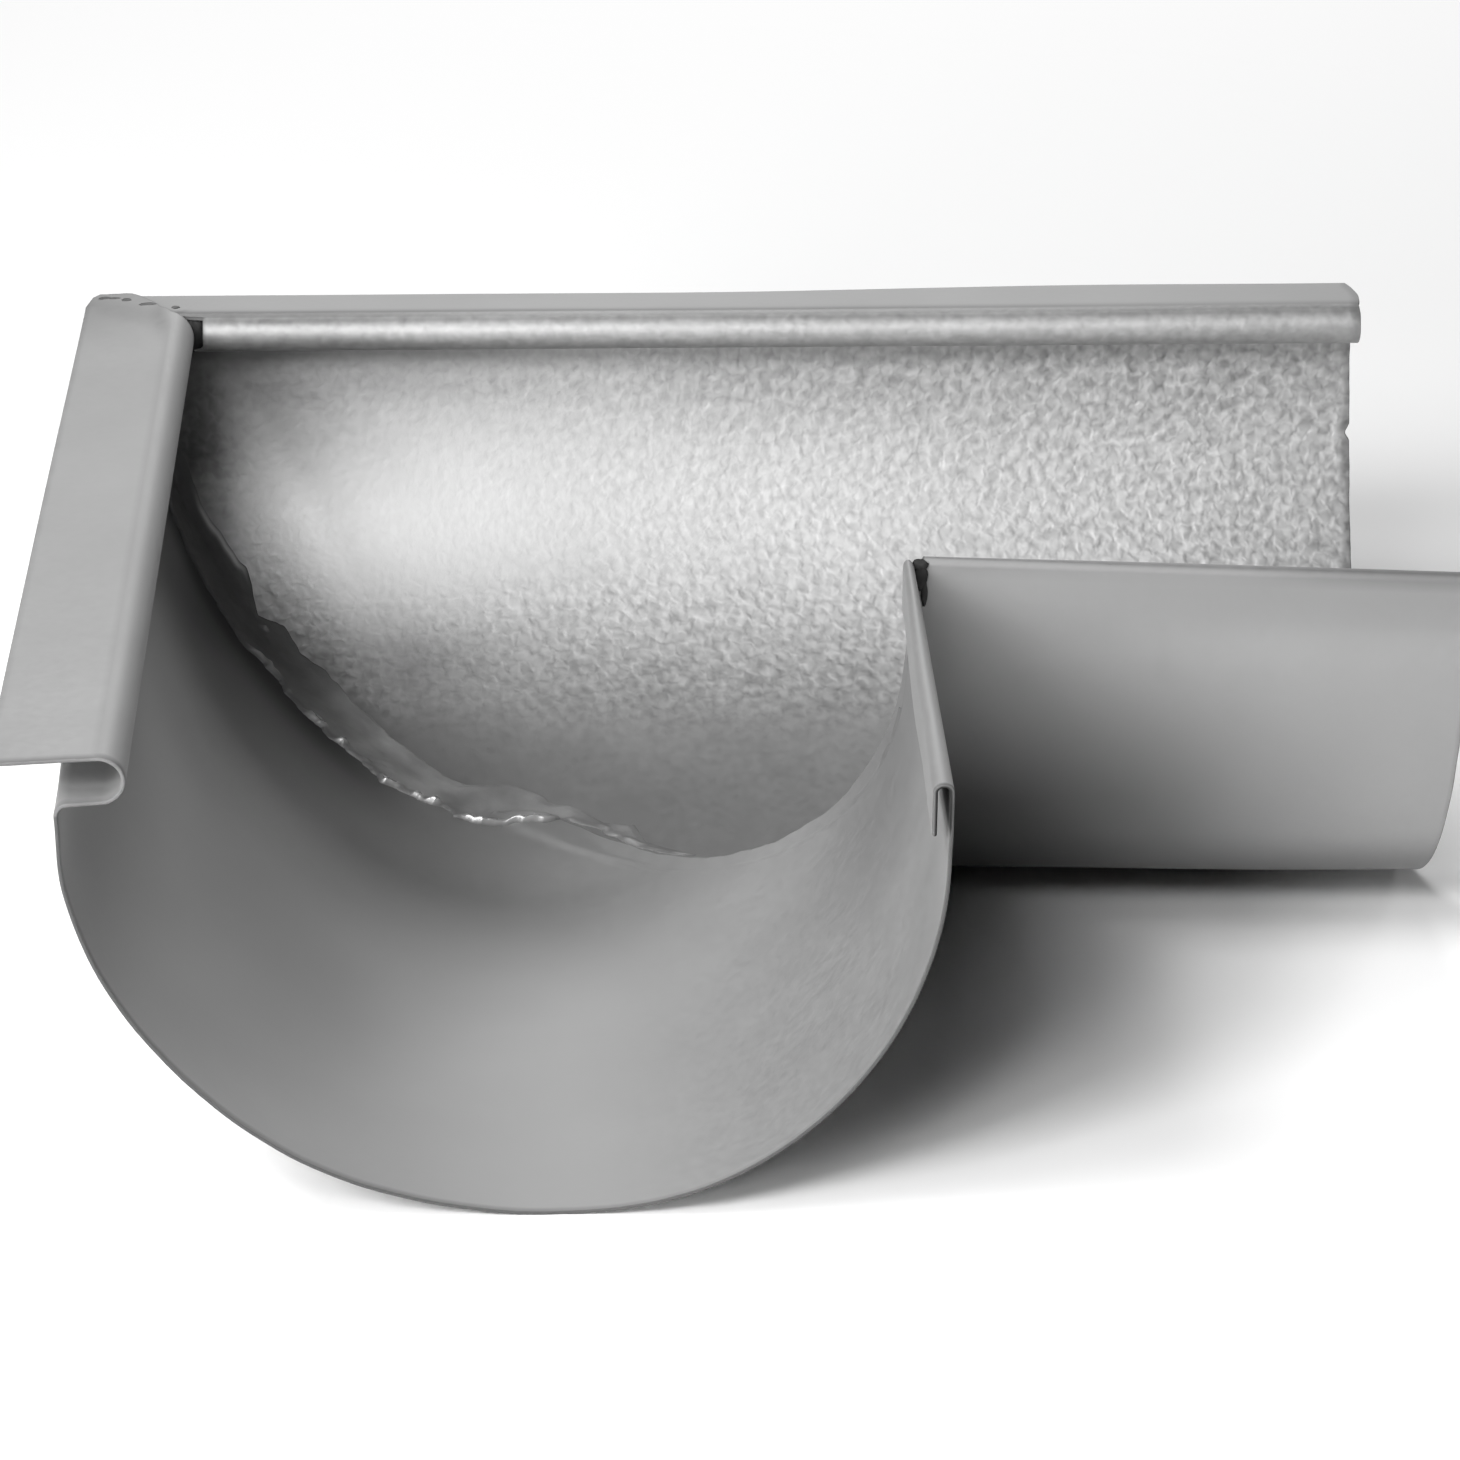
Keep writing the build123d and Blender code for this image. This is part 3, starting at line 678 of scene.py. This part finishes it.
def sealer_material(name, specular):
    m = bpy.data.materials.new(name)
    m.use_nodes = True
    nt = m.node_tree
    bsdf = nt.nodes["Principled BSDF"]
    tc = nt.nodes.new("ShaderNodeTexCoord")
    big = node(nt, "ShaderNodeTexNoise", -900, 200, Scale=140.0, Detail=3.0, Roughness=0.55)
    fine = node(nt, "ShaderNodeTexNoise", -900, 0, Scale=900.0, Detail=2.0, Roughness=0.6)
    for n in (big, fine):
        nt.links.new(tc.outputs["Object"], n.inputs["Vector"])
    bead = nt.nodes.new("ShaderNodeAttribute")
    bead.attribute_name = "bead"
    shine = math_node(nt, "MAXIMUM", -700, 300, bead.outputs["Fac"], 0.0)
    # negative values darken the dabs, which paint shade
    dark = math_node(nt, "MINIMUM", -700, 200, bead.outputs["Fac"], 0.0)
    t0 = math_node(nt, "MULTIPLY_ADD", -600, 200, big.outputs["Fac"], 0.10)
    t0.node.inputs[2].default_value = 0.065
    t2 = math_node(nt, "MULTIPLY_ADD", -550, 200, dark, 0.085)
    nt.links.new(t0, t2.node.inputs[2])
    # pale: lighter sealer colour, and a painted highlight along the upper edge under the lip
    pale = nt.nodes.new("ShaderNodeAttribute")
    pale.attribute_name = "pale"
    t3 = math_node(nt, "MULTIPLY_ADD", -520, 200, pale.outputs["Fac"], 0.21)
    nt.links.new(t2, t3.node.inputs[2])
    t1 = math_node(nt, "MULTIPLY_ADD", -500, 200, shine, 0.45)
    nt.links.new(t3, t1.node.inputs[2])
    bsdf.inputs["Specular IOR Level"].default_value = specular
    metal = math_node(nt, "MULTIPLY", -500, 350, shine, 0.75)
    nt.links.new(metal, bsdf.inputs["Metallic"])
    comb = nt.nodes.new("ShaderNodeCombineColor")
    for i in range(3):
        nt.links.new(t1, comb.inputs[i])
    nt.links.new(comb.outputs["Color"], bsdf.inputs["Base Color"])
    r0 = math_node(nt, "MULTIPLY_ADD", -600, -100, bead.outputs["Fac"], -0.28)
    r0.node.inputs[2].default_value = 0.44
    r1 = math_node(nt, "MULTIPLY_ADD", -500, -100, fine.outputs["Fac"], 0.12)
    nt.links.new(r0, r1.node.inputs[2])
    r2 = math_node(nt, "MAXIMUM", -400, -100, r1, 0.14)
    nt.links.new(r2, bsdf.inputs["Roughness"])
    bump = nt.nodes.new("ShaderNodeBump")
    bump.inputs["Strength"].default_value = 0.6
    bump.inputs["Distance"].default_value = 0.0002
    h = math_node(nt, "MULTIPLY_ADD", -500, -300, fine.outputs["Fac"], 0.4)
    nt.links.new(big.outputs["Fac"], h.node.inputs[2])
    nt.links.new(h, bump.inputs["Height"])
    nt.links.new(bump.outputs["Normal"], bsdf.inputs["Normal"])
    return m


def floor_material(name):
    m = bpy.data.materials.new(name)
    m.use_nodes = True
    nt = m.node_tree
    bsdf = nt.nodes["Principled BSDF"]
    bsdf.inputs["Roughness"].default_value = 0.9
    bsdf.inputs["Specular IOR Level"].default_value = 0.2
    bsdf.inputs["Base Color"].default_value = (0.92, 0.92, 0.92, 1.0)
    return m


# ----------------------------------------------------------------------- pieces
near = build_leg("near_leg_sheet", True, near_start, near_end, 120)
far = build_leg("far_leg_sheet", False, far_start, far_end, 126)
seal = build_sealer("seam_sealer_bead")
# dark dabs standing in for shade: a plug closes the lip at the outer corner and paints the shade of its gap, smears
# along the flange's lap paint the shadow under its lifted edge, and three fill the notch in the hem at the inner
# corner, painting its dark gap
lz = lambda x, y: float(lap_top(-x, y))
dabs = build_dabs("dark_shade_dabs", [
    ((-63.0, 66.6, 83.4), (2.7, 3.9, 3.3), -1.0),
    ((-82.0, 81.6, lz(-82.0, 81.6)), (1.5, 0.7, 0.22), -0.3),
    ((-80.0, 80.9, lz(-80.0, 80.9)), (1.2, 0.6, 0.20), -0.3),
    ((-77.4, 79.0, lz(-77.4, 79.0)), (1.1, 1.0, 0.28), -0.4),
    ((-72.6, 74.6, lz(-72.6, 74.6)), (1.8, 0.9, 0.26), -0.3),
    ((-66.6, 68.3, lz(-66.6, 68.3)), (0.9, 0.7, 0.24), -0.4),
    ((77.3, -76.3, 86.1), (1.5, 0.8, 1.1), -1.0),
    ((77.4, -76.45, 83.6), (1.3, 0.6, 2.7), -1.0),
    ((78.2, -76.5, 80.6), (0.6, 0.5, 2.7), -1.0),
])
near.data.materials.append(galvanised("galvanised_near", 0.40, 1.0))
far.data.materials.append(galvanised("galvanised_far", 0.43, 2.0))
seal.data.materials.append(sealer_material("dark_sealer", 0.7))
dabs.data.materials.append(sealer_material("dark_shade_dabs_material", 0.2))
for ob, cad, slot in ((near, "near_leg", "sheet"), (far, "far_leg", "sheet"), (seal, "seam_sealer", "sealer"), (dabs, None, "sealer")):
    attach(ob, "root")
    if cad:
        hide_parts(cad)

# ------------------------------------------------------------------------ stage
me = bpy.data.meshes.new("floor")
me.from_pydata([(-6, -6, 0), (6, -6, 0), (6, 6, 0), (-6, 6, 0)], [], [(0, 1, 2, 3)])
me.materials.append(floor_material("pale_floor"))
floor = bpy.data.objects.new("floor", me)
bpy.context.scene.collection.objects.link(floor)

world = bpy.data.worlds.new("studio")
bpy.context.scene.world = world
world.use_nodes = True
world.node_tree.nodes["Background"].inputs["Color"].default_value = (1.0, 1.0, 1.0, 1.0)
world.node_tree.nodes["Background"].inputs["Strength"].default_value = 0.01


def area_light(name, azimuth, elevation, distance, size, power):
    """Soft box aimed at the middle of the part; azimuth from the camera's side, positive to its right."""
    a, e = math.radians(azimuth), math.radians(elevation)
    d = Vector((math.sin(a) * math.cos(e), -math.cos(a) * math.cos(e), math.sin(e)))
    li = bpy.data.lights.new(name, "AREA")
    li.shape = "DISK"
    li.size = size
    li.energy = power
    ob = bpy.data.objects.new(name, li)
    ob.location = Vector((0, 0, 0.04)) + d * distance
    ob.rotation_euler = d.to_track_quat("Z", "Y").to_euler()
    bpy.context.scene.collection.objects.link(ob)
    return ob


area_light("key", -40, 30, 1.5, 0.45, 17.1)
area_light("key_low", -30, 14, 1.5, 0.32, 8.2)
area_light("key_front", -20, 40, 1.5, 0.40, 5.6)
area_light("key_middle", -10, 40, 1.5, 0.30, 1.6)
area_light("key_high", -40, 52, 1.5, 0.30, 3.2)
area_light("left_high", -62, 52, 1.5, 0.45, 9.0)
area_light("back", 180, 34, 1.5, 0.30, 6.9)
area_light("back_right", 140, 20, 1.5, 0.30, 2.7)

# ----------------------------------------------------------------------- camera
cam = bpy.data.cameras.new("camera")
cam.sensor_width = 36.0
cam.lens = 132.57
cam.clip_start = 0.05
cam.clip_end = 50.0
yaw, pitch, roll = (math.radians(v) for v in (2.56, 22.81, -0.40))
fwd = Vector((math.sin(yaw) * math.cos(pitch), math.cos(yaw) * math.cos(pitch), -math.sin(pitch)))
right = Vector((math.cos(yaw), -math.sin(yaw), 0.0))
down = fwd.cross(right)
r2 = right * math.cos(roll) + down * math.sin(roll)
d2 = -right * math.sin(roll) + down * math.cos(roll)
cam_ob = bpy.data.objects.new("camera", cam)
cam_ob.matrix_world = Matrix((
    (r2.x, -d2.x, -fwd.x, -0.04557),
    (r2.y, -d2.y, -fwd.y, -0.95557),
    (r2.z, -d2.z, -fwd.z, 0.44100),
    (0, 0, 0, 1),
))
bpy.context.scene.collection.objects.link(cam_ob)
bpy.context.scene.camera = cam_ob
bpy.context.scene.view_settings.view_transform = "Standard"
bpy.context.scene.view_settings.look = "None"
cy = bpy.context.scene.cycles
cy.max_bounces = 5
cy.diffuse_bounces = 2
cy.glossy_bounces = 4
